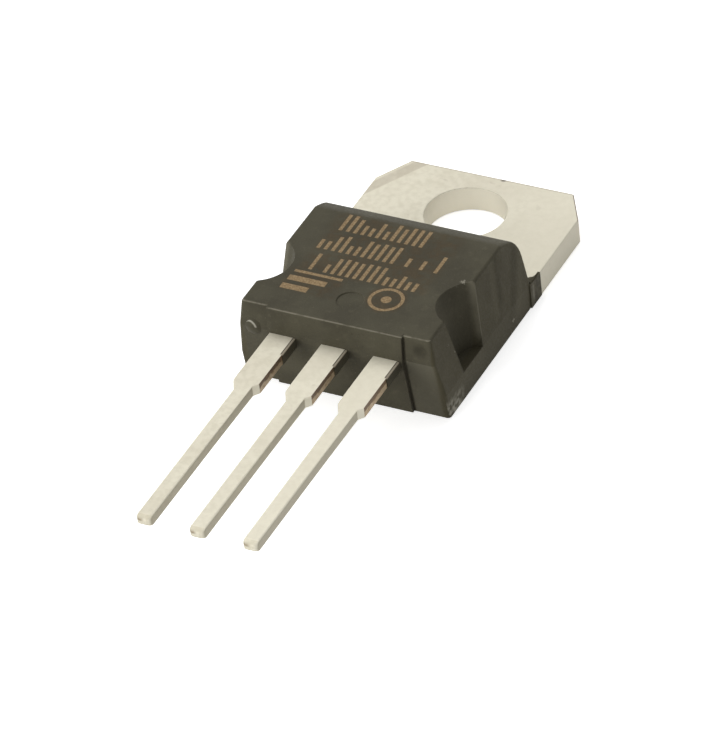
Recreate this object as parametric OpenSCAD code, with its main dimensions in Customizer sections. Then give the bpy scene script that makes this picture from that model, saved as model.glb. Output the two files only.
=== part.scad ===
// Three-lead voltage regulator in a moulded power package with a metal heat tab.
// Millimetres. The origin is the axis of the mounting hole, on the metal back face.
// +X runs along the row of leads, +Y to the free end of the tab, +Z out of the marked face.

/* [Tab] */
// Width of the metal tab
tab_w = 10.2; // [8:0.05:13]
// Thickness of the metal tab
tab_t = 1.27; // [1:0.01:1.6]
// From the hole centre to the free end of the tab
tab_reach = 2.85; // [2.3:0.05:3.5]
// Diameter of the mounting hole
hole_d = 3.8; // [3:0.05:4.6]
// Corner cut of the tab, measured across the tab
corner_x = 1.0; // [0.5:0.05:1.3]
// Corner cut of the tab, measured along the tab
corner_y = 1.7; // [1:0.05:2.1]

/* [Body] */
// Height of the body over the metal back face
body_h = 4.4; // [4:0.05:5.4]
// How far each side of the body lies inside the flank of the tab
flank_step = 0.07; // [0.02:0.01:0.15]
// From the free end of the tab to the lead end of the body
package_l = 15.5; // [13:0.1:18.6]
// From the free end of the tab to the body, along the face of the tab
bare_tab_l = 6.7; // [5.6:0.1:7.5]
// How much narrower the body is on each side at its marked face
side_draft = 0.42; // [0.1:0.02:0.6]
// How far the upright part of the rear leans back
rear_lean = 0.13; // [0.05:0.01:0.3]
// Height of the knee between that part and the slope up to the marked face
knee_h = 3.7; // [3.4:0.05:3.8]
// How far the slope leans back
slope_l = 1.5; // [1.2:0.05:1.8]
// Rounding of the knee
knee_r = 1.5; // [0.5:0.05:1.7]
// How far the upright foot of the sides stands over the face of the tab
foot_rise = 0.08; // [0.02:0.01:0.2]
// How far the lead end bulges to its parting line
bulge = 0.46; // [0.2:0.02:0.6]
// How far the marked face draws back from the parting line at the lead end
top_draft = 0.12; // [0.06:0.02:0.4]
// How far the raised panel of the lead end reaches past the outer leads
panel_rim = 0.23; // [0.15:0.01:0.4]
// How far that panel stands out
panel_proud = 0.15; // [0.05:0.01:0.3]
// Radius of the upright corners at the rear
rear_r = 0.2; // [0.15:0.05:0.6]
// Radius of the upright corners at the lead end
front_r = 0.16; // [0.14:0.02:0.4]
// Rounding of the rim of the marked face
rim_r = 0.12; // [0.05:0.01:0.13]

/* [Side notches] */
// From the lead end of the body to the middle of the notches
notch_back = 2.8; // [2.5:0.05:3.5]
// Radius of a notch on its floor
notch_floor_r = 1.0; // [0.7:0.05:1.2]
// Radius of a notch at the marked face
notch_top_r = 1.67; // [1.3:0.01:1.8]
// How far the axis of a notch stands off the foot of the side
notch_off = 0.26; // [0.1:0.02:0.5]

/* [Mould marks] */
// Diameter of the ejector mark on the marked face
ejector_d = 1.2; // [0.8:0.1:1.6]
// From the lead end of the body to the middle of the ejector mark
ejector_back = 1.35; // [1.2:0.05:1.6]
// Depth of the ejector mark
ejector_depth = 0.05; // [0.02:0.01:0.1]
// Radius of the ball that shapes the gate stub and the dimple
gate_r = 0.6; // [0.5:0.05:0.8]
// How far the gate stub stands out, and how deep the dimple goes
gate_proud = 0.14; // [0.05:0.01:0.2]

/* [Leads] */
// Distance between neighbouring leads
pitch = 2.54; // [2.3:0.01:3.05]
// From the metal back face to the underside of the leads
lead_z = 2.6; // [2.2:0.02:2.9]
// Thickness of the leads
lead_t = 0.52; // [0.43:0.01:0.63]
// Width of a lead
lead_w = 0.72; // [0.6:0.01:0.88]
// Width of a lead next to the body
shoulder_w = 1.06; // [0.9:0.01:1.2]
// Length of the wide stretch outside the body
shoulder_l = 3.45; // [2.9:0.05:4.2]
// Width of a lead between the two cut stubs of the bar that joined the leads
stub_w = 1.3; // [1.24:0.01:1.5]
// From the body to those stubs
stub_gap = 1.25; // [1:0.05:1.6]
// Thickness of the resin left on the sides of a lead between the body and the stubs
flash_t = 0.09; // [0.04:0.01:0.11]
// Length over which a lead narrows
shoulder_taper = 0.5; // [0.3:0.05:0.8]
// Length of the leads beyond the foot of the body
lead_l = 13.8; // [11.5:0.1:16.6]
// Corner cut at the tip of a lead
tip_cut = 0.12; // [0.05:0.01:0.2]
// Length of the bevels pressed into the top and underside of the tip
tip_bevel_l = 0.24; // [0.1:0.01:0.4]
// Depth of those bevels
tip_bevel_h = 0.1; // [0.05:0.01:0.16]
// Gap between the centre lead and the inner posts of the outer leads
post_gap = 1.06; // [0.9:0.01:1.2]
// Resin between an inner post and the notch beside it
post_wall = 0.4; // [0.3:0.05:0.6]
// Length of the inner post
post_l = 1.4; // [1.2:0.05:1.7]
// Cover of resin between a post and the lead end of the body
post_cover = 0.8; // [0.6:0.05:1]

/* [Pad under the body] */
// Resin wall on each side of the pad
pad_wall = 0.88; // [0.7:0.02:1.2]
// Undercut along the edges of the pad, which the resin grips
lock_w = 0.25; // [0.1:0.01:0.3]
// Height of that undercut
lock_h = 0.5; // [0.3:0.05:0.6]
// Depth of the shallow recess in each flank of the tab
ear_depth = 0.12; // [0.05:0.01:0.2]
// Length of that recess in front of the rear of the body
ear_l = 0.85; // [0.5:0.05:1]
// Depth of the groove across the pad
groove_depth = 0.2; // [0.1:0.01:0.3]
// From the shoulder of the pad to the middle of the groove
groove_back = 0.6; // [0.4:0.05:0.8]
// Corner cut at the lead end of the pad
pad_corner = 0.6; // [0.4:0.05:0.8]
// Radius in the corner between the tab and the pad
pad_shoulder_r = 0.4; // [0.2:0.05:0.6]
// Angle of the step up to the centre lead
step_angle = 60; // [45:1:70]
// Bend radius of that step, at the middle of the strip
step_r = 0.55; // [0.45:0.01:0.7]

/* [Chip] */
// Width of the chip
die_w = 2.0; // [1.6:0.1:2.4]
// Length of the chip
die_l = 2.3; // [1.9:0.1:2.8]
// Thickness of the chip
die_t = 0.28; // [0.2:0.01:0.35]
// Thickness of the solder under it
solder_t = 0.06; // [0.03:0.01:0.08]
// From the lead end of the pad to the chip
die_gap = 1.65; // [1.5:0.05:1.8]
// How far the solder reaches past the chip
solder_rim = 0.12; // [0.05:0.01:0.2]
// Distance between neighbouring bonds on the chip
bond_pitch = 0.45; // [0.4:0.01:0.48]
// From the edges of the chip and of the pad to the bonds along them
bond_inset = 0.35; // [0.3:0.01:0.4]
// From the middle of the right post to each of the two wires on it, as a share of its width
post_spread = 0.18; // [0.15:0.01:0.22]
// Diameter of the bond wires
wire_d = 0.2; // [0.12:0.01:0.24]
// How high a bond wire arches over the line between its ends, as a share of that line
wire_arch = 0.27; // [0.2:0.01:0.35]

/* [Hidden] */
$fn = 64;
// Facets round each corner of the body shell
corner_facets = 24;
// Steps that the rounding of the knee is stretched over
knee_steps = 6;
// Steps that the rounding of the rim is stretched over
rim_steps = 3;
// Facets of a bend in the metal and of the round on the raised panel
bend_facets = 12;
// Facets round a bond wire
wire_facets = 24;
// How far the step of the metal reaches into the flat lead, so that the two are one
strip_lap = 0.3;
// A thickness too small to see, for the slices that the shell is stretched over
film = 0.01;
// Extra length for cutters that run past a face
past = 0.5;

// Places along Y
foot_y = tab_reach - package_l;
side_foot_y = foot_y + panel_proud;
exit_y = foot_y - bulge;
rear_y = tab_reach - bare_tab_l;
stub_y = exit_y - stub_gap;
tip_y = foot_y - lead_l;
notch_y = foot_y + notch_back;
post_front_y = exit_y + panel_proud + post_cover;
post_rear_y = post_front_y + post_l;

// Heights
foot_h = tab_t + foot_rise;
parting_z = lead_z + lead_t;
die_z = tab_t + solder_t;
die_top = die_z + die_t;

// The rear of the body: an upright part, a round knee and a slope
lean_angle = atan(rear_lean / (knee_h - tab_t));
slope_angle = atan((body_h - knee_h) / slope_l);
knee_turn = 90 - lean_angle - slope_angle;
knee_reach = knee_r * tan(knee_turn / 2);
knee_low = [rear_y - rear_lean, knee_h] - knee_reach * [-sin(lean_angle), cos(lean_angle)];
knee_high = [rear_y - rear_lean, knee_h] + knee_reach * [-cos(slope_angle), sin(slope_angle)];
knee_middle = knee_low - knee_r * [cos(lean_angle), sin(lean_angle)];

// Places along X
body_w = tab_w - 2 * flank_step;
pad_w = body_w - 2 * pad_wall;
panel_half_w = pitch + shoulder_w / 2 + panel_rim;
notch_x = body_w / 2 + notch_off;
notch_grow = (notch_top_r - notch_floor_r) / (body_h - foot_h);
post_in_x = shoulder_w / 2 + post_gap;
post_out_x = notch_x - notch_floor_r - notch_grow * (parting_z - foot_h) - post_wall;

// The step from the pad up to the centre lead
pad_strip_z = tab_t - lead_t / 2;
lead_strip_z = lead_z + lead_t / 2;
step_rise = lead_strip_z - pad_strip_z - 2 * step_r * (1 - cos(step_angle));
step_run = step_rise / sin(step_angle);
step_top_y = exit_y + post_cover;
pad_front_y = step_top_y + 2 * step_r * sin(step_angle) + step_run * cos(step_angle);
pad_shoulder_y = rear_y - rear_r;

// Chip and bond places
die_y = pad_front_y + die_gap + die_l / 2;
bond_y = die_y - die_l / 2 + bond_inset;
outer_bond_x = 1.5 * bond_pitch;
pad_bond_y = pad_front_y + 2 * bond_inset;
post_x = (post_in_x + post_out_x) / 2;
post_y = (post_front_y + post_rear_y) / 2;
post_bond_x = (post_out_x - post_in_x) * post_spread;

// Flattened ends of the bond wires
foot_t = wire_d * 0.4;
foot_l = wire_d * 1.6;
foot_w = wire_d * 1.3;

// Points of an arc, from one angle to another
function arc_points(middle, r, first, last) = [
    for (i = [0:bend_facets])
        let (a = first + (last - first) * i / bend_facets)
        middle + r * [cos(a), sin(a)]
];

// Turns a shape drawn in Y and Z upright, with its length along X
module in_yz() rotate([90, 0, 90]) children();

module both_sides() {
    children();
    mirror([1, 0, 0]) children();
}

// Half the width of the body at height z
function half_at(z) = body_w / 2 - side_draft * max(z - foot_h, 0) / (body_h - foot_h);

// Lead end of the side panels at height z, furthest out on the parting line
function front_at(z) = z < parting_z
    ? side_foot_y - bulge * z / parting_z
    : exit_y + panel_proud + top_draft * (z - parting_z) / (body_h - parting_z);

// Rear of the body at height z
function rear_at(z) =
    z < knee_low[1] ? rear_y - tan(lean_angle) * max(z - tab_t, 0)
    : z > knee_high[1] ? knee_high[0] - (z - knee_high[1]) / tan(slope_angle)
    : knee_middle[0] + sqrt(pow(knee_r, 2) - pow(z - knee_middle[1], 2));

// Height of step i of the rounding of the knee
function knee_z(i) = knee_middle[1] + knee_r * sin(lean_angle + knee_turn * i / knee_steps);

// Height of step i of the rounding of the rim
function rim_z(i) = body_h - rim_r * (1 - sin(90 * i / rim_steps));

// How far the rim of the marked face draws in at height z
function rim_at(z) = z < body_h - rim_r ? 0 : rim_r - sqrt(pow(rim_r, 2) - pow(z - body_h + rim_r, 2));

// One level of the shell: its four upright corners at height z
module shell_level(z) {
    both_sides() {
        translate([half_at(z) - rear_r, rear_at(z) - rear_r, z - film])
            cylinder(r = rear_r - rim_at(z), h = film);
        translate([half_at(z) - front_r, front_at(z) + front_r, z - film])
            cylinder(r = front_r - rim_at(z), h = film);
    }
}

// Outer shell without its panel and notches
module body_shell() {
    hull($fn = corner_facets) {
        for (z = [film, foot_h, parting_z]) shell_level(z);
        for (i = [0:knee_steps]) shell_level(knee_z(i));
        for (i = [0:rim_steps]) shell_level(rim_z(i));
    }
}

// Raised panel across the middle of the lead end
module front_panel() {
    top_front = exit_y + top_draft;
    in_yz() linear_extrude(2 * panel_half_w, center = true) polygon(concat(
        [[foot_y + post_cover, 0], [foot_y, 0], [exit_y, parting_z]],
        arc_points([top_front + rim_r, body_h - rim_r], rim_r, 180, 90),
        [[top_front + post_cover, body_h]]
    ));
}

// Cone-shaped notch in each side, down to the foot
module side_notches() {
    h = body_h - foot_h + past;
    both_sides() translate([notch_x, notch_y, foot_h])
        cylinder(h = h, r1 = notch_floor_r, r2 = notch_floor_r + notch_grow * h);
}

// Round mark of the ejector pin on the marked face
module ejector_mark() {
    translate([0, foot_y + ejector_back, body_h - ejector_depth]) cylinder(d = ejector_d, h = past);
}

// Ball at the side panel of the lead end, with only a cap of it standing out of the panel
module gate_ball(side, z, out) {
    x = side * (panel_half_w + body_w / 2 - front_r) / 2;
    translate([x, exit_y + panel_proud - out + gate_r, z]) sphere(gate_r);
}

// Resin that fills the recess in each flank of the tab, flush with the flank
module ears() {
    both_sides() translate([tab_w / 2 - ear_depth - past, pad_shoulder_y, 0])
        cube([ear_depth + past, rear_y + ear_l - pad_shoulder_y, tab_t]);
}

// Resin that ran out along the sides of the leads, as far as the bar that joined them
module lead_flash() {
    for (x = [-pitch, 0, pitch])
        translate([x - shoulder_w / 2 - flash_t, stub_y, lead_z])
            cube([shoulder_w + 2 * flash_t, post_cover / 2 - (stub_y - exit_y), lead_t]);
}

module moulded_body() {
    color("#3a3a33") difference() {
        union() {
            body_shell();
            front_panel();
            lead_flash();
            ears();
            gate_ball(-1, parting_z, gate_proud);
        }
        side_notches();
        ejector_mark();
        gate_ball(1, (parting_z + body_h) / 2, 2 * gate_r - gate_proud);
        tab_and_centre_lead();
        left_lead();
        right_lead();
        die_solder();
        die();
        adjust_wire();
        input_wire_a();
        input_wire_b();
        output_wire_a();
        output_wire_b();
    }
}

// Half outline of the tab and the pad, on the +X side
module tab_half(pad_half) {
    half_w = tab_w / 2;
    difference() {
        polygon([
            [0, tab_reach],
            [half_w - corner_x, tab_reach],
            [half_w, tab_reach - corner_y],
            [half_w, rear_y + ear_l],
            [half_w - ear_depth, rear_y + ear_l],
            [half_w - ear_depth, pad_shoulder_y],
            [pad_half, pad_shoulder_y],
            [pad_half, pad_front_y + pad_corner],
            [pad_half - pad_corner, pad_front_y],
            [0, pad_front_y]
        ]);
        translate([pad_half + pad_shoulder_r, pad_shoulder_y]) circle(pad_shoulder_r);
    }
}

module tab_outline(pad_half) {
    union() {
        tab_half(pad_half);
        mirror([1, 0]) tab_half(pad_half);
    }
}

// Strip that steps up from the pad to the level of the leads
module step_strip() {
    low_bend = [pad_front_y, pad_strip_z + step_r];
    high_bend = [step_top_y, lead_strip_z - step_r];
    inner = step_r - lead_t / 2;
    outer = step_r + lead_t / 2;
    in_yz() linear_extrude(shoulder_w, center = true) polygon(concat(
        [[pad_front_y + pad_corner, tab_t - lead_t]],
        arc_points(low_bend, outer, -90, -90 - step_angle),
        arc_points(high_bend, inner, 90 - step_angle, 90),
        [[step_top_y - strip_lap, lead_z], [step_top_y - strip_lap, lead_z + lead_t]],
        arc_points(high_bend, outer, 90, 90 - step_angle),
        arc_points(low_bend, inner, -90 - step_angle, -90),
        [[pad_front_y + pad_corner, tab_t]]
    ));
}

// Outline of one lead from y = start to its tip, centred on x = 0
module lead_outline(start) {
    wide = shoulder_w / 2;
    stub = stub_w / 2;
    slim = lead_w / 2;
    wide_end = exit_y - shoulder_l;
    slim_start = wide_end - shoulder_taper;
    polygon([
        [-wide, start],
        [-wide, stub_y],
        [-stub, stub_y],
        [-stub, wide_end],
        [-slim, slim_start],
        [-slim, tip_y + tip_cut],
        [-slim + tip_cut, tip_y],
        [slim - tip_cut, tip_y],
        [slim, tip_y + tip_cut],
        [slim, slim_start],
        [stub, wide_end],
        [stub, stub_y],
        [wide, stub_y],
        [wide, start]
    ]);
}

// Wedges that bevel the top and underside of the tip of a lead on x = 0
module tip_bevels() {
    for (side = [-1, 1])
        in_yz() linear_extrude(2 * stub_w, center = true)
            translate([tip_y, lead_z + lead_t * (side + 1) / 2]) polygon([
                [-tip_bevel_l, -2 * side * tip_bevel_h],
                [2 * tip_bevel_l, side * tip_bevel_h],
                [-tip_bevel_l, side * tip_bevel_h]
            ]);
}

// Flat lead on x = 0, from y = start to its tip
module lead_bar(start) {
    difference() {
        translate([0, 0, lead_z]) linear_extrude(lead_t) lead_outline(start);
        tip_bevels();
    }
}

// Groove across the pad that keeps moisture out and holds the resin
module pad_groove() {
    in_yz() linear_extrude(tab_w, center = true) translate([pad_shoulder_y - groove_back, 0]) polygon([
        [-groove_depth, tab_t],
        [0, tab_t - groove_depth],
        [groove_depth, tab_t]
    ]);
}

module tab_and_centre_lead() {
    color("#cfcabb") union() {
        difference() {
            union() {
                linear_extrude(lock_h) tab_outline(pad_w / 2 - lock_w);
                translate([0, 0, lock_h]) linear_extrude(tab_t - lock_h) tab_outline(pad_w / 2);
            }
            translate([0, 0, -past]) cylinder(d = hole_d, h = tab_t + 2 * past);
            pad_groove();
        }
        step_strip();
        lead_bar(step_top_y);
    }
}

// Outer lead with its inner post, side is -1 or 1
module outer_lead(side) {
    color("#d6d2c4") union() {
        translate([side * pitch, 0, 0]) lead_bar(post_front_y);
        translate([side * post_x, post_y, parting_z - lead_t / 2])
            cube([post_out_x - post_in_x, post_l, lead_t], center = true);
    }
}

module left_lead() outer_lead(-1);

module right_lead() outer_lead(1);

module die() {
    color("#7f8790") translate([-die_w / 2, die_y - die_l / 2, die_z]) cube([die_w, die_l, die_t]);
}

module die_solder() {
    w = die_w + 2 * solder_rim;
    l = die_l + 2 * solder_rim;
    color("#a9abb0") translate([-w / 2, die_y - l / 2, tab_t]) cube([w, l, solder_t]);
}

// Flattened end of a bond wire, lying on the surface at the origin
module wire_foot() {
    linear_extrude(foot_t) union() {
        square([foot_l, foot_w], center = true);
        for (end = [-1, 1]) translate([end * foot_l / 2, 0]) circle(d = foot_w);
    }
}

// Bond wire in one upright arc between two bonded feet, from and to are on the bonded surfaces
module bond_wire(from, to) {
    run = norm([to[0] - from[0], to[1] - from[1]]);
    heading = atan2(to[1] - from[1], to[0] - from[0]);
    rise = to[2] - from[2];
    chord = norm([run, rise]);
    arch = wire_arch * chord;
    loop_r = chord * chord / (8 * arch) + arch / 2;
    drop = loop_r - arch;
    middle = [run / 2 + drop * rise / chord, rise / 2 - drop * run / chord + foot_t / 2];
    start_angle = atan2(rise + foot_t / 2 - middle[1], run - middle[0]);
    end_angle = atan2(foot_t / 2 - middle[1], -middle[0]);
    sweep = end_angle < 0 ? end_angle + 360 - start_angle : end_angle - start_angle;
    color("#c9ccd1") translate(from) rotate(heading) union() {
        difference() {
            rotate([90, 0, 0]) translate([middle[0], middle[1], 0]) rotate(start_angle)
                rotate_extrude(angle = sweep) translate([loop_r, 0]) circle(d = wire_d, $fn = wire_facets);
            translate([-foot_l, -wire_d, -past]) cube([foot_l + foot_l / 2, 2 * wire_d, past]);
            translate([run - foot_l, -wire_d, rise - past]) cube([2 * foot_l, 2 * wire_d, past]);
        }
        wire_foot();
        translate([run, 0, rise]) wire_foot();
    }
}

module adjust_wire() {
    bond_wire([-outer_bond_x, bond_y, die_top], [-post_x, post_y, parting_z]);
}

module input_wire_a() {
    bond_wire([outer_bond_x, bond_y, die_top], [post_x - post_bond_x, post_y, parting_z]);
}

module input_wire_b() {
    bond_wire([outer_bond_x, bond_y + outer_bond_x, die_top],
              [post_x + post_bond_x, post_y + bond_inset, parting_z]);
}

// Wire from the chip down to the pad
module output_wire(x) {
    bond_wire([x, bond_y, die_top], [x, pad_bond_y, tab_t]);
}

module output_wire_a() output_wire(-bond_pitch / 2);

module output_wire_b() output_wire(bond_pitch / 2);

moulded_body();
tab_and_centre_lead();
left_lead();
right_lead();
die();
die_solder();
adjust_wire();
input_wire_a();
input_wire_b();
output_wire_a();
output_wire_b();
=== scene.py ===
"""A three-lead voltage regulator lying on its metal back.

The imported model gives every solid. This script rounds the edges of the pieces that are seen,
and gives each surface its finish: moulded resin, tin plate, cut copper, and the bare chip and
bond wires inside. Metres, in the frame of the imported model: the mounting hole is on the z axis,
the leads point along -y and the marked face looks up.
"""
import math

import bmesh
import bpy
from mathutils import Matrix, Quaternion, Vector


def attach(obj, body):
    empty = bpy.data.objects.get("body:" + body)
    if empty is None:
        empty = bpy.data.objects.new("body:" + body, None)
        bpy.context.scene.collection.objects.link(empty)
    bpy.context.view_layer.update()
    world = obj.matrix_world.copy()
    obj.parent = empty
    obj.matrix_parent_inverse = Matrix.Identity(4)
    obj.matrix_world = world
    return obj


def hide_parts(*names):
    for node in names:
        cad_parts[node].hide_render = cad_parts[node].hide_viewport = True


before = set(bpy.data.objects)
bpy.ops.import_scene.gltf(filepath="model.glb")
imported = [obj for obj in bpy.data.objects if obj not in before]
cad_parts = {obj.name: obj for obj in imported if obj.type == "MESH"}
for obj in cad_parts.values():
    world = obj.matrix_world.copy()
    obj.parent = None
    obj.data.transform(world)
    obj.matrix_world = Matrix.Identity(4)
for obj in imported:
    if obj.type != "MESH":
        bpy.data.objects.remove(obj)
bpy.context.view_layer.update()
MM = 0.001

# Places on the package, in millimetres
TAB_TOP = 1.27
FOOT_TOP = 1.35
BODY_TOP = 4.4
REAR_Y = -3.85
CLEAR_TAB_Y = REAR_Y + 0.86
CORNER_START_Y = 1.15
LEAD_END_Y = -12.9
PANEL_HALF = 3.3
FLANK_X = 4.62
FOOT_SIDE_X = 4.97
EAR_X = 4.9
PARTING_Z = 3.12
HOLE_R = 1.9
PIN_MARK_Y = -11.3
PIN_MARK_R = 0.6
GATE = (-4.2, -13.0, PARTING_Z)
DIMPLE = (4.15, LEAD_END_Y, 3.78)
RING = (1.5, -10.75)
TAB_NICK = (0.6, 2.83, TAB_TOP)
CORNER_SLOPE = 1.7
FLASH_SIDE_X = 5.06
FLASH_T = 0.05
LEAD_BOTTOM = 2.6
NOTCH_X = 5.29
NOTCH_Y = -9.85
NOTCH_FLOOR_R = 1.0
NOTCH_GROW = 0.67 / 3.05
PITCH = 2.54
STUB_HALF = 0.65
WIDE_HALF = 0.53
SLIM_HALF = 0.36
SKIN_HALF = 0.62
STUB_Y = -14.36
STUB_END_Y = -16.56
SLIM_Y = -17.06
SLIM_START_Y = SLIM_Y + 0.35
TIP_Y = -26.45

# Strength of the light from all round, and of the floor's own glow as the background
SKY_LIGHT = 0.34
FLOOR_GLOW = 0.66


def deselect_all():
    bpy.ops.object.select_all(action="DESELECT")


# Shader nodes


def shader_node(tree, kind, inputs=None, **settings):
    """Adds a node. An input is given as a value or as the socket that feeds it."""
    new = tree.nodes.new(kind)
    for name, value in settings.items():
        setattr(new, name, value)
    for name, value in (inputs or {}).items():
        if isinstance(value, bpy.types.NodeSocket):
            tree.links.new(value, new.inputs[name])
        else:
            new.inputs[name].default_value = value
    return new


def calculate(tree, operation, *values):
    """One step of arithmetic on numbers or sockets."""
    return shader_node(tree, "ShaderNodeMath", dict(enumerate(values)),
                       operation=operation).outputs[0]


def blend_colours(tree, factor, first, second):
    """Goes from the first colour to the second as factor goes from 0 to 1."""
    mix = shader_node(tree, "ShaderNodeMix", data_type="RGBA")
    sockets = (mix.inputs[0], mix.inputs[6], mix.inputs[7])
    for socket, value in zip(sockets, (factor, first, second)):
        if isinstance(value, bpy.types.NodeSocket):
            tree.links.new(value, socket)
        else:
            socket.default_value = value
    return mix.outputs[2]


def ramp(tree, value, low, high, out_low=0.0, out_high=1.0):
    """Maps a value between low and high onto out_low to out_high, and holds it there."""
    return shader_node(tree, "ShaderNodeMapRange", {
        "Value": value, "From Min": low, "From Max": high, "To Min": out_low, "To Max": out_high
    }, interpolation_type="SMOOTHSTEP").outputs[0]


def cloud(tree, place, grain, detail=3.0, roughness=0.5, stretch=(1, 1, 1)):
    """Soft noise between 0 and 1 whose patches are about grain metres across."""
    stretched = shader_node(tree, "ShaderNodeMapping",
                            {"Vector": place, "Scale": stretch}).outputs[0]
    return shader_node(tree, "ShaderNodeTexNoise", {
        "Vector": stretched, "Scale": 1 / grain, "Detail": detail, "Roughness": roughness
    }).outputs[0]


def srgb(red, green, blue):
    """A colour given as 0 to 255 on screen, as the linear colour that a shader takes."""
    def linear(value):
        value /= 255
        return value / 12.92 if value <= 0.04045 else ((value + 0.055) / 1.055) ** 2.4
    return (linear(red), linear(green), linear(blue), 1.0)


def new_material(name):
    """An empty material, its tree, its shader and the place on the object in metres."""
    material = bpy.data.materials.new(name)
    material.use_nodes = True
    tree = material.node_tree
    shader = tree.nodes["Principled BSDF"]
    place = shader_node(tree, "ShaderNodeTexCoord").outputs["Object"]
    return material, tree, shader, place


def bump(tree, shader, height, distance):
    """Raises the surface by distance metres where height is 1."""
    raised = shader_node(tree, "ShaderNodeBump",
                         {"Height": height, "Distance": distance, "Strength": 1.0})
    tree.links.new(raised.outputs[0], shader.inputs["Normal"])


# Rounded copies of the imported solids


def edit_mode(piece):
    deselect_all()
    piece.select_set(True)
    bpy.context.view_layer.objects.active = piece
    bpy.ops.object.mode_set(mode="EDIT")
    bpy.ops.mesh.select_mode(type="EDGE")


def object_mode():
    bpy.ops.object.mode_set(mode="OBJECT")


def whole_faced_copy(node, name):
    """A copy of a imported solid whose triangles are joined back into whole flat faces."""
    piece = bpy.data.objects.new(name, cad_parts[node].data.copy())
    bpy.context.scene.collection.objects.link(piece)
    piece.data.materials.clear()
    deselect_all()
    piece.select_set(True)
    bpy.context.view_layer.objects.active = piece
    bpy.ops.mesh.customdata_custom_splitnormals_clear()
    edit_mode(piece)
    bpy.ops.mesh.select_all(action="SELECT")
    bpy.ops.mesh.remove_doubles(threshold=0.0001 * MM)
    bpy.ops.mesh.mark_sharp(clear=True)
    bpy.ops.mesh.dissolve_limited(angle_limit=math.radians(0.4))
    object_mode()
    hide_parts(node)
    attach(piece, "root")
    return piece


def move_corners(piece, wanted, shift):
    """Moves the corners for which wanted(corner) holds, both in millimetres."""
    edit_mode(piece)
    bpy.ops.mesh.select_mode(type="VERT")
    bpy.ops.mesh.select_all(action="DESELECT")
    shape = bmesh.from_edit_mesh(piece.data)
    for vertex in shape.verts:
        vertex.select_set(bool(wanted(vertex.co / MM)))
    shape.select_flush_mode()
    bmesh.update_edit_mesh(piece.data)
    bpy.ops.transform.translate(value=tuple(part * MM for part in shift))
    object_mode()


def trim_stubs(piece, lead_x):
    """Shapes a lead as it was cut: nearly straight on the left, short shoulder on the right."""
    left_stub, right_stub = lead_x - STUB_HALF, lead_x + STUB_HALF
    for line, shift in ((right_stub, -0.08), (lead_x + WIDE_HALF, -0.04),
                        (lead_x - WIDE_HALF, -0.12)):
        move_corners(piece, lambda corner: abs(corner.x - line) < 0.02 and corner.y < REAR_Y,
                     (shift, 0, 0))
    move_corners(piece, lambda corner: abs(corner.x - left_stub) < 0.02
                 and corner.y < STUB_END_Y + 0.02, (0, -0.1, 0))
    for side, shift in ((-1, -0.14), (1, 0.24)):
        move_corners(piece, lambda corner: SLIM_HALF - 0.06 < side * (corner.x - lead_x)
                     < SLIM_HALF + 0.04 and abs(corner.y - SLIM_Y) < 0.02, (0, shift, 0))


def thin_left_skin(piece, lead_x):
    """Thins the end of the resin skin on the left of a lead, under the wide metal there."""
    for level, shift in ((LEAD_BOTTOM, 0.08), (PARTING_Z, -0.08)):
        move_corners(piece, lambda corner: -SKIN_HALF - 0.02 < corner.x - lead_x < 0.02 - WIDE_HALF
                     and corner.y < STUB_Y + 0.02 and abs(corner.z - level) < 0.02,
                     (0, 0, shift))


def round_edges(piece, width, wanted, steps=2):
    """Rolls over the sharp outer edges for which wanted(middle, edge) holds.

    The middle of the edge is in millimetres.
    """
    edit_mode(piece)
    bpy.ops.mesh.select_all(action="DESELECT")
    shape = bmesh.from_edit_mesh(piece.data)
    for edge in shape.edges:
        if (len(edge.link_faces) == 2 and edge.is_convex
                and edge.calc_face_angle() > math.radians(20)):
            middle = (edge.verts[0].co + edge.verts[1].co) / (2 * MM)
            edge.select_set(bool(wanted(middle, edge)))
    shape.select_flush_mode()
    bmesh.update_edit_mesh(piece.data)
    bpy.ops.mesh.bevel(offset=width * MM, segments=steps, affect="EDGES", clamp_overlap=True)
    object_mode()


def smooth_faces(piece, angle=30):
    """Shades rounded stretches smooth and keeps flat faces flat."""
    deselect_all()
    piece.select_set(True)
    bpy.context.view_layer.objects.active = piece
    bpy.ops.object.shade_smooth_by_angle(angle=math.radians(angle))
    weighted = piece.modifiers.new("weighted", "WEIGHTED_NORMAL")
    weighted.keep_sharp = True
    bpy.ops.object.modifier_apply(modifier=weighted.name)


def paint_faces(piece, slot_index, wanted):
    """Gives another material slot to the faces for which wanted(middle, normal) holds."""
    for face in piece.data.polygons:
        if wanted(face.center / MM, face.normal):
            face.material_index = slot_index


def on_notch_wall(corner):
    """Whether a corner of the mesh lies on the cone wall of a side notch."""
    x, y, z = (part / MM for part in corner)
    radius = NOTCH_FLOOR_R + NOTCH_GROW * (z - FOOT_TOP)
    return z > FOOT_TOP + 0.02 and abs(math.hypot(abs(x) - NOTCH_X, y - NOTCH_Y) - radius) < 0.02


def notch_rim(middle, edge):
    """The edges on the cone wall of a side notch."""
    return all(on_notch_wall(vertex.co) for vertex in edge.verts)


def mark_rim(middle, edge):
    """The edge of the shallow round mark that a push-out pin left in the face."""
    return middle.z > BODY_TOP - 0.02 and abs(
        math.hypot(middle.x, middle.y - PIN_MARK_Y) - PIN_MARK_R) < 0.03


def body_outer_edge(middle, edge):
    """The edges round the underside and those of the raised panel at the lead end."""
    under = all(vertex.co.z < 0.02 * MM for vertex in edge.verts)
    outside = abs(middle.x) > EAR_X or middle.y < LEAD_END_Y + 0.4
    panel = abs(abs(middle.x) - PANEL_HALF) < 0.02 and middle.y < LEAD_END_Y + 0.6
    return (under and outside) or panel


def tab_outer_edge(middle, edge):
    """The edges of the bare part of the tab and of its hole."""
    return middle.y > CLEAR_TAB_Y


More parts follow.
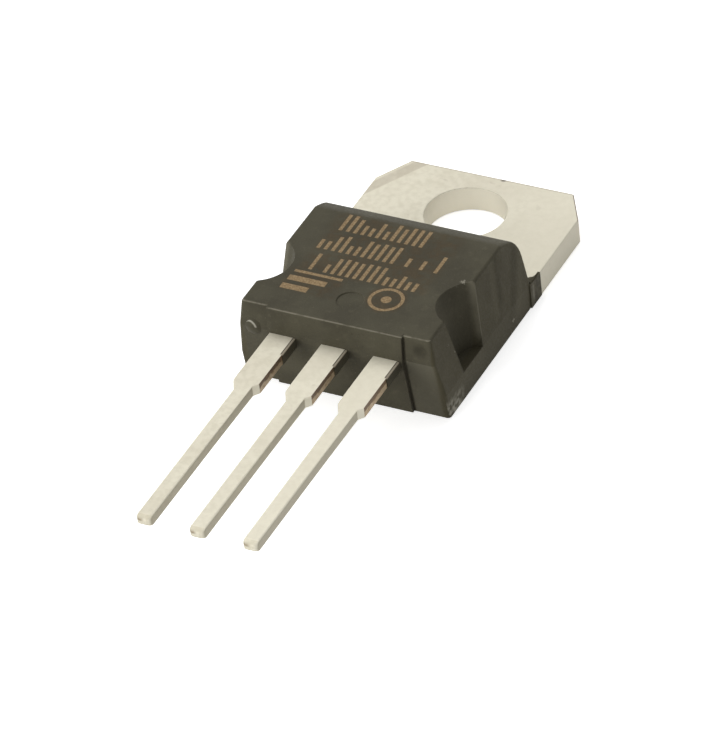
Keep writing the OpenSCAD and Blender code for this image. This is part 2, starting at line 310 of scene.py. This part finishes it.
def wide_lead_edge(middle, edge):
    """The edges of the wide stretch of a lead, from the body to where it narrows."""
    return SLIM_START_Y < middle.y < LEAD_END_Y


def slim_lead_edge(middle, edge):
    """The edges of the narrow stretch of a lead."""
    return middle.y < SLIM_START_Y


def cut_stub_face(middle, normal):
    """The faces left where the bar between the leads was cut off."""
    return (STUB_END_Y - 0.02 < middle.y < STUB_Y + 0.02 and abs(normal.x) > 0.9
            and middle.z > LEAD_BOTTOM - 0.1)


def cut_corner_face(middle, normal):
    """The two slanting faces where the corners of the tab were cut off."""
    return (middle.y > CORNER_START_Y - 0.05 and abs(normal.x) > 0.4
            and normal.y > 0.3 and abs(normal.z) < 0.3)


def flash_web(side):
    """A thin ragged skin of resin that ran out over the tab beside the rear of the body."""
    deselect_all()
    bpy.ops.mesh.primitive_plane_add(size=1.0, location=(0, 0, 0))
    web = bpy.context.object
    web.name = "flash_web_right" if side > 0 else "flash_web_left"
    width, depth = 0.86, 0.3
    web.scale = (width * MM, depth * MM, 1)
    root_y = REAR_Y - 0.06
    web.location = (side * (FLASH_SIDE_X - width / 2) * MM, (root_y + depth / 2) * MM,
                    (TAB_TOP + FLASH_T) * MM)
    bpy.ops.object.transform_apply(location=True, rotation=True, scale=True)
    edit_mode(web)
    bpy.ops.mesh.select_all(action="SELECT")
    reach = (0.02, -0.1, -0.16, -0.04, -0.14, -0.02, 0.1, 0.16, 0.55)
    bpy.ops.mesh.subdivide(number_cuts=len(reach) - 2)
    bpy.ops.mesh.select_mode(type="VERT")
    for i, out in enumerate(reach):
        bpy.ops.mesh.select_all(action="DESELECT")
        shape = bmesh.from_edit_mesh(web.data)
        line = side * (FLASH_SIDE_X - width + width * i / (len(reach) - 1)) * MM
        for vertex in shape.verts:
            share = (vertex.co.y / MM - root_y) / depth
            vertex.select_set(abs(vertex.co.x - line) < 0.02 * MM and share > 0.9)
        shape.select_flush_mode()
        bmesh.update_edit_mesh(web.data)
        bpy.ops.transform.translate(value=(0, out * MM, -0.02 * MM))
    bpy.ops.mesh.select_mode(type="FACE")
    bpy.ops.mesh.select_all(action="SELECT")
    bpy.ops.mesh.extrude_region_move(TRANSFORM_OT_translate={"value": (0, 0, -FLASH_T * MM)})
    bpy.ops.mesh.select_all(action="SELECT")
    bpy.ops.mesh.normals_make_consistent(inside=False)
    object_mode()
    web.data.materials.append(resin)
    smooth_faces(web)
    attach(web, "root")


# Finishes


def split_place(tree, place):
    """The three coordinates on the object, in millimetres."""
    scaled = shader_node(tree, "ShaderNodeMapping",
                         {"Vector": place, "Scale": (1 / MM, 1 / MM, 1 / MM)}).outputs[0]
    return shader_node(tree, "ShaderNodeSeparateXYZ", {"Vector": scaled}).outputs[:3]


def within(tree, value, low, high, soft=0.02):
    """1 where value lies between low and high, 0 elsewhere, with soft ends."""
    rising = ramp(tree, value, low - soft, low + soft)
    return calculate(tree, "SUBTRACT", rising, ramp(tree, value, high - soft, high + soft))


def both(tree, *masks):
    """1 where all the masks are 1."""
    result = masks[0]
    for mask in masks[1:]:
        result = calculate(tree, "MULTIPLY", result, mask)
    return result


def either(tree, *masks):
    """The strongest of the masks."""
    result = masks[0]
    for mask in masks[1:]:
        result = calculate(tree, "MAXIMUM", result, mask)
    return result


def distance_to(tree, place, x, y, z):
    """Distance in millimetres from a point on the object."""
    return calculate(tree, "MULTIPLY", shader_node(tree, "ShaderNodeVectorMath", {
        0: place, 1: (x * MM, y * MM, z * MM)}, operation="DISTANCE").outputs["Value"], 1000)


def tint(tree, colour, mask, strength, shade):
    """Lays a shade over the colour where the mask is 1, as strongly as strength says."""
    return blend_colours(tree, calculate(tree, "MULTIPLY", mask, strength), colour, shade)


def off_middle(tree, x, limit):
    """1 further than limit millimetres to either side of the middle plane."""
    return calculate(tree, "GREATER_THAN", calculate(tree, "ABSOLUTE", x), limit)


def slanted(tree, x, y, slope):
    """Height over lines that run across the marked side with the given slope."""
    return calculate(tree, "ADD", calculate(tree, "MULTIPLY", x, slope), y)


def spot(tree, place, centre, inner, outer):
    """1 within inner millimetres of a point, fading to 0 at outer."""
    away = distance_to(tree, place, *centre)
    return calculate(tree, "SUBTRACT", 1, ramp(tree, away, inner, outer))


def beside_lead(tree, x):
    """Distance to the right of the middle of the nearest lead."""
    return calculate(tree, "SUBTRACT", x, calculate(tree, "MULTIPLY", PITCH, calculate(
        tree, "ROUND", calculate(tree, "DIVIDE", x, PITCH))))


def row_of_bars(tree, x, y, first, last, middle, height, seed):
    """A row of plain upright bars, tall, short or left out as chance has it."""
    period, stroke = 0.36, 0.17
    steps = calculate(tree, "DIVIDE", x, period)
    cell = calculate(tree, "MULTIPLY", calculate(tree, "FLOOR", steps), 7.31)
    chance = shader_node(tree, "ShaderNodeTexWhiteNoise", {"W": calculate(tree, "ADD", cell, seed)},
                         noise_dimensions="1D").outputs["Value"]
    along = calculate(tree, "MULTIPLY", calculate(tree, "FRACT", steps), period)
    above = calculate(tree, "SUBTRACT", y, middle - height / 2)
    tall = ramp(tree, chance, 0.3, 0.7, height * 0.5, height)
    bar = both(tree, within(tree, along, 0.09, 0.09 + stroke), ramp(tree, above, -0.02, 0.02),
               ramp(tree, calculate(tree, "SUBTRACT", tall, above), -0.02, 0.02))
    filled = calculate(tree, "GREATER_THAN", chance, 0.12)
    return both(tree, bar, filled, within(tree, x, first, last))


def burnt_marks(tree, x, y, z):
    """Plain marks in place of print: three rows of bars, three stripes and a ring round a dot."""
    rows = [row_of_bars(tree, x, y, -2.92, 1.42, -6.2, 1.2, 0.4),
            row_of_bars(tree, x, y, -3.26, 2.88, -7.7, 1.2, 3.7),
            row_of_bars(tree, x, y, -2.9, 2.52, -9.25, 1.2, 9.2)]
    stripes = [both(tree, within(tree, x, first, last), within(tree, y, level, level + thick))
               for first, last, level, thick in ((-3.3, -0.95, -10.2, 0.17),
                                                 (-3.35, -1.5, -10.82, 0.36),
                                                 (-3.4, -2.1, -11.45, 0.36))]
    from_ring = shader_node(tree, "ShaderNodeVectorMath", {
        0: shader_node(tree, "ShaderNodeCombineXYZ", {"X": x, "Y": y}).outputs[0], 1: (*RING, 0)
    }, operation="DISTANCE").outputs["Value"]
    ring = within(tree, from_ring, 0.66, 0.82)
    dot = within(tree, from_ring, -1, 0.24)
    marks = either(tree, *rows, *stripes, ring, dot)
    by_rows = both(tree, within(tree, x, -3.2, 2.9, 0.3), within(tree, y, -9.95, -5.55, 0.2))
    by_stripes = both(tree, within(tree, x, -3.45, -0.8, 0.2), within(tree, y, -11.5, -9.9, 0.2))
    near = either(tree, by_rows, by_stripes, within(tree, from_ring, -1, 0.95, 0.12))
    top = calculate(tree, "GREATER_THAN", z, BODY_TOP - 0.03)
    return both(tree, marks, top), both(tree, near, top)


def painted_flank_shading(tree, x, y, z, place):
    """Streaks of painted shade and painted highlight down the rear of the flanks: dark ones first,
    then pale ones.
    """
    flank = off_middle(tree, x, FLANK_X)
    behind = calculate(tree, "GREATER_THAN", y, -8.2)
    wander = cloud(tree, place, 1.2 * MM)
    painted_streak_shade, painted_streak_highlight = [], []
    for start, slant, half_width, low, masks in (
            (-6.95, 0.14, 0.24, 2.0, painted_streak_shade), (-6.36, 0.49, 0.28, 0.7, painted_streak_shade),
            (-7.5, 0.2, 0.22, 1.6, painted_streak_highlight), (-5.6, 0.49, 0.2, 0.6, painted_streak_highlight)):
        line = calculate(tree, "ADD", calculate(tree, "MULTIPLY", z, slant), start)
        line = calculate(tree, "ADD", line, ramp(tree, wander, 0.2, 0.8, -0.05, 0.05))
        off = calculate(tree, "ABSOLUTE", calculate(tree, "SUBTRACT", y, line))
        near = calculate(tree, "SUBTRACT", 1, ramp(tree, off, half_width * 0.2, half_width * 1.9))
        masks.append(both(tree, near, ramp(tree, z, low - 0.3, low + 0.3)))
    return tuple(both(tree, either(tree, *masks), flank, behind) for masks in (painted_streak_shade, painted_streak_highlight))


def moulded_resin():
    """Dark filled epoxy from a spark-eroded mould: matt, grainy, faintly mottled and scuffed, with
    painted shade and painted highlights on its flanks, notches, rims and lead end.
    """
    material, tree, shader, place = new_material("moulded_resin")
    x, y, z = split_place(tree, place)
    mottle = cloud(tree, place, 1.8 * MM)
    grain = cloud(tree, place, 0.09 * MM, detail=2.0)
    blotch = cloud(tree, place, 0.35 * MM)
    colour = blend_colours(tree, ramp(tree, mottle, 0.3, 0.7), srgb(67, 64, 53), srgb(78, 75, 62))
    colour = blend_colours(tree, ramp(tree, grain, 0.6, 0.85), colour, srgb(94, 90, 76))
    colour = blend_colours(tree, ramp(tree, grain, 0.4, 0.15), colour, srgb(56, 53, 41))
    colour = blend_colours(tree, ramp(tree, blotch, 0.55, 0.8, 0.0, 0.4), colour, srgb(92, 88, 73))

    # Painted light: the resin is painted lighter towards the rear, where the marked face slopes
    # down.
    behind = ramp(tree, y, -5.9, -5.2)
    colour = tint(tree, colour, behind, 0.3, srgb(92, 89, 76))
    # Painted shade and painted highlights: dark and pale streaks down the rear of the flanks.
    painted_streak_shade, painted_streak_highlight = painted_flank_shading(tree, x, y, z, place)
    colour = tint(tree, colour, painted_streak_shade, 0.75, srgb(44, 42, 31))
    colour = tint(tree, colour, painted_streak_highlight, 0.35, srgb(104, 100, 84))

    side = off_middle(tree, x, FOOT_SIDE_X)
    # Painted light: the upright strip at the foot of each side is painted lighter.
    above_foot = ramp(tree, z, FOOT_TOP - 0.06, FOOT_TOP + 0.02)
    painted_foot_light = both(tree, side, calculate(tree, "SUBTRACT", 1, above_foot))
    colour = tint(tree, colour, painted_foot_light, 0.3, srgb(104, 101, 88))

    # Painted shade: the side faces below the top are painted darker and warmer.
    flank = both(tree, off_middle(tree, x, FLANK_X),
                 calculate(tree, "LESS_THAN", z, BODY_TOP - 0.02))
    colour = tint(tree, colour, flank, 0.35, srgb(70, 64, 42))

    lead_end = calculate(tree, "LESS_THAN", y, LEAD_END_Y + 0.7)
    smooth_half = both(tree, lead_end, calculate(tree, "LESS_THAN", z, PARTING_Z),
                       within(tree, calculate(tree, "ABSOLUTE", x), PANEL_HALF, 4.75, 0.1),
                       ramp(tree, x, -1, 1, 0.2, 1.0))
    colour = tint(tree, colour, smooth_half, 0.5, srgb(100, 97, 84))
    # Painted shade on the small upright step at the right edge of the raised panel at the lead end.
    painted_step_shade = both(tree, lead_end, within(tree, x, PANEL_HALF - 0.03, PANEL_HALF + 0.1, 0.03),
                calculate(tree, "LESS_THAN", z, BODY_TOP - 0.12))
    colour = tint(tree, colour, painted_step_shade, 0.7, srgb(44, 41, 32))

    # Painted highlight: a broken pale line along the top front edge at the lead end.
    painted_rim_highlight = both(tree, calculate(tree, "LESS_THAN", y, LEAD_END_Y + 0.2),
               within(tree, z, BODY_TOP - 0.055, BODY_TOP - 0.015, 0.012),
               ramp(tree, blotch, 0.3, 0.55, 0.3, 1.0))
    colour = tint(tree, colour, painted_rim_highlight, 0.55, srgb(140, 135, 120))

    beside = calculate(tree, "ABSOLUTE", x)
    folded = shader_node(tree, "ShaderNodeCombineXYZ", {
        "X": calculate(tree, "MULTIPLY", beside, MM), "Y": calculate(tree, "MULTIPLY", y, MM)
    }).outputs[0]
    from_notch = distance_to(tree, folded, NOTCH_X, NOTCH_Y, 0)
    notch_radius = calculate(tree, "ADD", NOTCH_FLOOR_R, calculate(
        tree, "MULTIPLY", NOTCH_GROW, calculate(tree, "SUBTRACT", z, FOOT_TOP)))
    off_wall = calculate(tree, "SUBTRACT", from_notch, notch_radius)
    in_notch = both(tree, ramp(tree, off_wall, 0.12, 0.02),
                    calculate(tree, "GREATER_THAN", z, FOOT_TOP - 0.02))
    # Painted shade deep in the side notches.
    painted_notch_shade = both(tree, in_notch, ramp(tree, z, 3.4, 1.6))
    colour = tint(tree, colour, painted_notch_shade, 0.5, srgb(36, 34, 25))

    # Painted highlight on the rear rim of each notch wall.
    drafted = calculate(tree, "ADD", beside, calculate(tree, "MULTIPLY", z, 0.14))
    painted_notch_rim_highlight = both(tree, in_notch, ramp(tree, y, NOTCH_Y + 0.1, NOTCH_Y + 0.6),
                    ramp(tree, z, 1.5, 2.2), ramp(tree, drafted, 4.85, 5.2))
    colour = tint(tree, colour, painted_notch_rim_highlight, 0.7, srgb(112, 108, 93))

    # Painted shade: a dark spot in the shallow dimple on the right of the lead end.
    painted_dimple_shade = spot(tree, place, DIMPLE, 0.15, 0.5)
    colour = tint(tree, colour, painted_dimple_shade, 0.5, srgb(40, 38, 30))
    # Painted highlight: a pale arc over the top of the gate stub on the left of the lead end.
    painted_gate_highlight = both(tree, within(tree, distance_to(tree, place, *GATE), 0.29, 0.35, 0.03),
                ramp(tree, z, 3.14, 3.24), calculate(tree, "LESS_THAN", y, LEAD_END_Y - 0.07))
    colour = tint(tree, colour, painted_gate_highlight, 0.9, srgb(176, 173, 160))

    outside = off_middle(tree, x, EAR_X)
    ear_place = both(tree, outside, within(tree, y, -4.0, -3.0, 0.03))
    ridge = both(tree, ear_place, within(tree, y, -3.84, -3.72, 0.1),
                 within(tree, z, 0.35, 1.15, 0.15))
    torn = both(tree, ear_place, ramp(tree, blotch, 0.4, 0.6))
    colour = tint(tree, colour, torn, 0.6, srgb(46, 43, 34))
    colour = tint(tree, colour, ridge, 0.5, srgb(158, 154, 140))

    # Painted highlight: a pale line along the top edge of the resin skin to the right of each lead.
    painted_skin_edge_highlight = both(tree, calculate(tree, "LESS_THAN", y, LEAD_END_Y - 0.24),
                     within(tree, z, PARTING_Z - 0.05, PARTING_Z + 0.02),
                     calculate(tree, "GREATER_THAN", beside_lead(tree, x), 0.5))
    colour = tint(tree, colour, painted_skin_edge_highlight, 0.7, srgb(170, 160, 142))

    marks, near = burnt_marks(tree, x, y, z)
    scorch = both(tree, near, ramp(tree, blotch, 0.25, 0.7))
    colour = tint(tree, colour, scorch, 0.4, srgb(74, 56, 34))
    worn_marks = both(tree, marks, ramp(tree, blotch, 0.1, 0.5, 0.72, 1.0))
    colour = blend_colours(tree, worn_marks, colour, blend_colours(
        tree, ramp(tree, grain, 0.3, 0.7), srgb(124, 103, 74), srgb(160, 138, 106)))

    scuff_place = both(tree, side, ramp(tree, y, -10.7, -11.8), ramp(tree, z, 1.05, 0.45))
    frost = cloud(tree, place, 0.3 * MM, detail=1.0)
    scuffs = both(tree, scuff_place, ramp(tree, frost, 0.36, 0.66))
    colour = tint(tree, colour, scuffs, 0.9, srgb(176, 172, 158))
    chips = []
    for centre, size in (((4.62, -11.55, 3.2), 0.13), ((4.72, -11.11, 2.6), 0.12),
                         ((4.15, -8.46, 4.38), 0.11), ((4.1, -8.85, 4.38), 0.08),
                         ((5.03, -5.81, 0.55), 0.1)):
        off = calculate(tree, "ADD", distance_to(tree, place, *centre),
                        ramp(tree, grain, 0.2, 0.8, -0.08, 0.08))
        chips.append(calculate(tree, "SUBTRACT", 1, ramp(tree, off, size * 0.6, size * 1.2)))
    colour = tint(tree, colour, either(tree, *chips), 0.5, srgb(168, 163, 148))

    tree.links.new(colour, shader.inputs["Base Color"])
    tree.links.new(ramp(tree, grain, 0.3, 0.7, 0.55, 0.72), shader.inputs["Roughness"])
    shader.inputs["Specular IOR Level"].default_value = 0.12
    shader.inputs["Specular Tint"].default_value = (1.0, 0.92, 0.76, 1)
    height = calculate(tree, "ADD", calculate(tree, "MULTIPLY", grain, 0.6),
                       calculate(tree, "MULTIPLY", marks, 0.35))
    bump(tree, shader, height, 0.012 * MM)
    return material


def tin_plate():
    """Satin tin over copper, cream grey, with a few faint stains and handling marks, painted shade
    on the faces turned to +x, painted highlights on the lead edges and painted light on the hole
    wall.
    """
    material, tree, shader, place = new_material("tin_plate")
    x, y, z = split_place(tree, place)
    drift = cloud(tree, place, 3.0 * MM)
    fine = cloud(tree, place, 0.1 * MM)
    spots = cloud(tree, place, 0.55 * MM, detail=1.0)
    colour = blend_colours(tree, ramp(tree, drift, 0.35, 0.65),
                           srgb(218, 213, 195), srgb(212, 206, 188))
    colour = blend_colours(tree, ramp(tree, fine, 0.55, 0.8, 0.0, 0.35),
                           colour, srgb(224, 220, 203))
    grey = cloud(tree, place, 0.3 * MM, detail=4.0)
    colour = blend_colours(tree, ramp(tree, grey, 0.35, 0.7, 0.0, 0.5), colour, srgb(198, 192, 172))
    colour = blend_colours(tree, ramp(tree, spots, 0.7, 0.8, 0.0, 0.4), colour, srgb(168, 158, 138))

    colour = blend_colours(tree, ramp(tree, x, -3.0, 4.5, 0.0, 0.6), colour, srgb(222, 217, 199))
    # Painted shade: faces turned towards +x are painted a little darker.
    turned = shader_node(tree, "ShaderNodeSeparateXYZ", {
        "Vector": shader_node(tree, "ShaderNodeTexCoord").outputs["Normal"]}).outputs["X"]
    on_lead = calculate(tree, "LESS_THAN", y, LEAD_END_Y)
    colour = blend_colours(tree, ramp(tree, turned, 0.5, 0.95, 0.0, 0.12),
                           colour, srgb(164, 158, 140))
    # Painted shade on the lead flanks that face +x, and a painted highlight on the rounded edges
    # between their tops and flanks.
    flank = both(tree, on_lead, ramp(tree, turned, 0.85, 0.97))
    colour = tint(tree, colour, flank, 0.6, srgb(164, 156, 136))
    painted_lead_edge_highlight = both(tree, on_lead, ramp(tree, turned, 0.1, 0.4), ramp(tree, turned, 0.92, 0.75))
    colour = tint(tree, colour, painted_lead_edge_highlight, 0.7, srgb(240, 235, 217))
    # Painted light on the wall of the mounting hole, brightest on its far and left parts.
    from_axis = shader_node(tree, "ShaderNodeVectorMath", {
        0: shader_node(tree, "ShaderNodeCombineXYZ", {"X": x, "Y": y}).outputs[0]
    }, operation="LENGTH").outputs["Value"]
    painted_hole_wall_light = both(tree, calculate(tree, "LESS_THAN", from_axis, HOLE_R + 0.005),
                     ramp(tree, y, -0.5, 1.6, 0.4, 1.0), ramp(tree, x, 2.2, 0.4, 0.1, 1.0))
    colour = blend_colours(tree, painted_hole_wall_light, colour, srgb(250, 245, 229))

    # A darker, patchy band on the left side beside the cut corner.
    left_corner_band = both(tree, within(tree, slanted(tree, x, y, -CORNER_SLOPE), 8.3, 9.4, 0.12),
                  calculate(tree, "LESS_THAN", x, 0), ramp(tree, spots, 0.15, 0.45, 0.5, 1.0))
    colour = tint(tree, colour, left_corner_band, 0.5, srgb(170, 160, 142))
    corner_line = both(tree, within(tree, slanted(tree, x, y, CORNER_SLOPE), 9.72, 9.95, 0.03),
                       calculate(tree, "GREATER_THAN", z, TAB_TOP - 0.1))
    colour = tint(tree, colour, corner_line, 0.8, srgb(104, 88, 76))
    rear_line = both(tree, within(tree, y, 2.76, 2.9, 0.02),
                     calculate(tree, "GREATER_THAN", z, TAB_TOP - 0.05))
    colour = tint(tree, colour, rear_line, 0.35, srgb(140, 132, 116))
    nick = spot(tree, place, TAB_NICK, 0.08, 0.2)
    colour = tint(tree, colour, nick, 0.8, srgb(96, 88, 78))

    tip_line = both(tree, within(tree, beside_lead(tree, x), -0.42, -0.04, 0.12),
                    within(tree, z, 2.9, 3.02, 0.05), calculate(tree, "LESS_THAN", y, TIP_Y + 0.12))
    colour = tint(tree, colour, tip_line, 0.85, srgb(116, 98, 72))

    # The tips are painted darker and duller: partly their own tan tone, partly painted shade that
    # tones down their glint.
    tip_tone_and_shade = both(tree, calculate(tree, "LESS_THAN", y, TIP_Y + 0.25),
                    ramp(tree, grey, 0.3, 0.6, 0.1, 0.4))
    colour = blend_colours(tree, tip_tone_and_shade, colour, srgb(182, 174, 150))

    tree.links.new(colour, shader.inputs["Base Color"])
    shader.inputs["Metallic"].default_value = 0.3
    shader.inputs["Specular IOR Level"].default_value = 0.3
    tree.links.new(ramp(tree, fine, 0.3, 0.7, 0.56, 0.66), shader.inputs["Roughness"])
    bump(tree, shader, fine, 0.004 * MM)
    return material


def cut_copper():
    """Bare copper where the frame was cut after plating: smeared tin above, torn metal below."""
    material, tree, shader, place = new_material("cut_copper")
    z = split_place(tree, place)[2]
    torn = cloud(tree, place, 0.14 * MM, stretch=(1, 0.5, 1))
    edge = calculate(tree, "ADD", z, ramp(tree, torn, 0.2, 0.8, -0.08, 0.08))
    colour = blend_colours(tree, ramp(tree, edge, 2.82, 2.9),
                           srgb(180, 160, 130), srgb(108, 88, 66))
    colour = blend_colours(tree, ramp(tree, torn, 0.5, 0.75, 0.0, 0.7), colour, srgb(148, 124, 96))
    tree.links.new(colour, shader.inputs["Base Color"])
    shader.inputs["Metallic"].default_value = 0.55
    tree.links.new(ramp(tree, torn, 0.3, 0.7, 0.38, 0.6), shader.inputs["Roughness"])
    bump(tree, shader, torn, 0.012 * MM)
    return material


def plain_metal(name, colour, roughness, grain):
    """A bare metal or silicon surface inside the resin."""
    material, tree, shader, place = new_material(name)
    fine = cloud(tree, place, grain)
    darker = tuple(0.8 * part for part in colour[:3]) + (1.0,)
    tree.links.new(blend_colours(tree, fine, darker, colour), shader.inputs["Base Color"])
    shader.inputs["Metallic"].default_value = 1.0
    tree.links.new(ramp(tree, fine, 0.2, 0.8, roughness - 0.05, roughness + 0.1),
                   shader.inputs["Roughness"])
    bump(tree, shader, fine, 0.002 * MM)
    return material


resin = moulded_resin()
tin = tin_plate()
copper = cut_copper()
silicon = plain_metal("bare_silicon", srgb(120, 126, 138), 0.12, 0.4 * MM)
solder = plain_metal("soft_solder", srgb(160, 162, 166), 0.4, 0.08 * MM)
wire_metal = plain_metal("bond_wire_metal", srgb(205, 208, 212), 0.25, 0.05 * MM)

finishes = {"moulded_body": resin, "tab_and_centre_lead": tin, "left_lead": tin, "right_lead": tin,
            "die": silicon, "die_solder": solder}
for name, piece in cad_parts.items():
    piece.data.materials[0] = finishes.get(name, wire_metal)

body = whole_faced_copy("moulded_body", "rounded_body")
for lead_x in (-PITCH, 0, PITCH):
    thin_left_skin(body, lead_x)
round_edges(body, 0.18, notch_rim, steps=3)
round_edges(body, 0.07, mark_rim, steps=3)
round_edges(body, 0.04, body_outer_edge)
body.data.materials.append(resin)
smooth_faces(body)

tab = whole_faced_copy("tab_and_centre_lead", "rounded_tab")
left_lead = whole_faced_copy("left_lead", "rounded_left_lead")
right_lead = whole_faced_copy("right_lead", "rounded_right_lead")
for piece, lead_x in ((left_lead, -PITCH), (tab, 0), (right_lead, PITCH)):
    trim_stubs(piece, lead_x)
round_edges(tab, 0.06, tab_outer_edge, steps=3)
for piece in (left_lead, tab, right_lead):
    round_edges(piece, 0.11, slim_lead_edge, steps=4)
    round_edges(piece, 0.06, wide_lead_edge, steps=3)
for piece in (tab, left_lead, right_lead):
    piece.data.materials.append(tin)
    piece.data.materials.append(copper)
    paint_faces(piece, 1, cut_stub_face)
    smooth_faces(piece)
paint_faces(tab, 1, cut_corner_face)

for side in (-1, 1):
    flash_web(side)


# Floor, light and camera


def sees_background(tree):
    """1 for the rays that show the background: seen straight, mirrored or through glass."""
    rays = shader_node(tree, "ShaderNodeLightPath").outputs
    return either(tree, rays["Is Camera Ray"], rays["Is Glossy Ray"], rays["Is Transmission Ray"])


def pale_floor():
    """A plain white floor that keeps the soft shadow of the object."""
    deselect_all()
    bpy.ops.mesh.primitive_plane_add(size=2.0, location=(0, 0, -0.02 * MM))
    floor = bpy.context.object
    floor.name = "floor"
    material = bpy.data.materials.new("white_floor")
    material.use_nodes = True
    tree = material.node_tree
    shader = tree.nodes["Principled BSDF"]
    shader.inputs["Base Color"].default_value = (0.86, 0.86, 0.86, 1)
    shader.inputs["Roughness"].default_value = 0.9
    shader.inputs["Specular IOR Level"].default_value = 0.1
    shader.inputs["Emission Color"].default_value = (1, 1, 1, 1)
    glow = calculate(tree, "MULTIPLY", sees_background(tree), FLOOR_GLOW)
    tree.links.new(glow, shader.inputs["Emission Strength"])
    floor.data.materials.append(material)


def soft_light(name, place, aim, size, power):
    """A round lamp at place, turned to aim."""
    deselect_all()
    bpy.ops.object.light_add(type="AREA", location=place)
    lamp = bpy.context.object
    lamp.name = name
    lamp.data.shape = "DISK"
    lamp.data.size = size
    lamp.data.energy = power
    lamp.rotation_mode = "QUATERNION"
    lamp.rotation_quaternion = (Vector(aim) - Vector(place)).to_track_quat("-Z", "Y")


def studio():
    """White surroundings, a large lamp overhead and a smaller one from the lead side."""
    world = bpy.data.worlds.new("studio")
    bpy.context.scene.world = world
    world.use_nodes = True
    tree = world.node_tree
    backdrop = tree.nodes["Background"]
    backdrop.inputs["Color"].default_value = (1, 1, 1, 1)
    strength = ramp(tree, sees_background(tree), 0, 1, SKY_LIGHT, 1.0)
    tree.links.new(strength, backdrop.inputs["Strength"])
    middle = (0, -0.011, 0)
    soft_light("overhead", (-0.2, 0.12, 0.48), middle, 0.5, 1.6)
    soft_light("front", (-0.22, -0.42, 0.12), middle, 0.3, 1.35)


def photo_camera():
    """The camera stands where the photograph was taken from, with its slight tilt."""
    place = Vector((0.10698, -0.19579, 0.1638))
    aim = Vector((-0.00014, -0.01124, 0.0))
    tilt = math.radians(-6.69)
    lens_data = bpy.data.cameras.new("camera")
    camera = bpy.data.objects.new("camera", lens_data)
    bpy.context.scene.collection.objects.link(camera)
    camera.location = place
    camera.rotation_mode = "QUATERNION"
    straight = (aim - place).to_track_quat("-Z", "Y")
    camera.rotation_quaternion = straight @ Quaternion((0, 0, 1), tilt)
    lens_data.sensor_width = 36.0
    lens_data.lens = 289.9
    lens_data.clip_start = 0.01
    lens_data.clip_end = 5.0
    bpy.context.scene.camera = camera


pale_floor()
studio()
photo_camera()
bpy.context.scene.view_settings.view_transform = "Standard"
